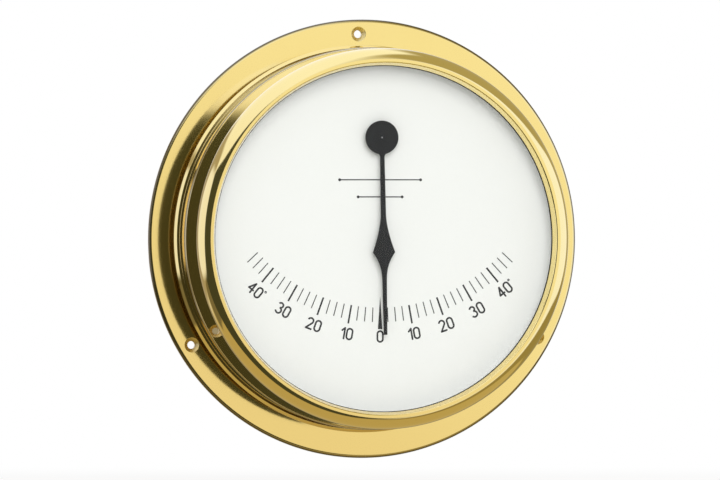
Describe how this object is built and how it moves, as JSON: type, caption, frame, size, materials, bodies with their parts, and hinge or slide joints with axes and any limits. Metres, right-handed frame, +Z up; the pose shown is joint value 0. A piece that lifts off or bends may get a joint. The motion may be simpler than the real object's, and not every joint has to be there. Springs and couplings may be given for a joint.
{
  "type": "inclinometer",
  "caption": "Round brass wall inclinometer with a white dial, a black pointer hung above the middle and a damped pendulum behind the dial.",
  "frame": {"origin": "centre of the flange's back face, on the wall that carries the instrument", "axes": "+Z up the dial from 0 towards the pivot, -Y out of the wall through the dial and the glass, +X to the right as read"},
  "size_m": [0.18, 0.0444, 0.18],
  "materials": {
    "polished_brass": "polished and lacquered",
    "sheet_brass": "as turned or rolled",
    "bearing_bronze": "turned",
    "plain_steel": "bright turned",
    "plain_aluminium": "turned",
    "pointer_black": "matt black enamel",
    "dial_white": "matt white enamel",
    "black_ink": "screen print",
    "window_glass": "clear flat glass",
    "black_rubber": "moulded"
  },
  "bodies": {
    "case": {"case_shell": "polished_brass", "bezel": "polished_brass", "lip_seal": "black_rubber", "glass": "window_glass", "glass_gasket": "black_rubber", "spacer_ring": "dial_white", "dial_plate": "dial_white", "dial_scale": "black_ink", "back_cover": "sheet_brass", "back_gasket": "black_rubber", "cover_screws": "plain_steel", "standoffs": "sheet_brass", "movement_screws": "plain_steel", "rear_plate": "sheet_brass", "front_plate": "sheet_brass", "pillars": "sheet_brass", "plate_screws": "plain_steel", "rear_bearing": "bearing_bronze", "front_bearing": "bearing_bronze", "stop_pins": "plain_steel", "damper_cup": "plain_aluminium", "damper_cover": "plain_aluminium", "damper_seal": "black_rubber", "damper_screws": "plain_steel"},
    "pendulum": {"arbor": "plain_steel", "pointer": "pointer_black", "pointer_collet": "sheet_brass", "pendulum_hub": "sheet_brass", "hub_set_screw": "plain_steel", "pendulum_rod": "plain_steel", "bob": "sheet_brass", "bob_nuts": "plain_steel", "damper_rotor": "plain_aluminium"}
  },
  "joints": [
    {"name": "pendulum_swing", "type": "hinge", "parent": "case", "child": "pendulum", "pos_m": [0, -0.02, 0.0414], "axis": [0, 1, 0], "range_deg": [-50, 50]}
  ]
}
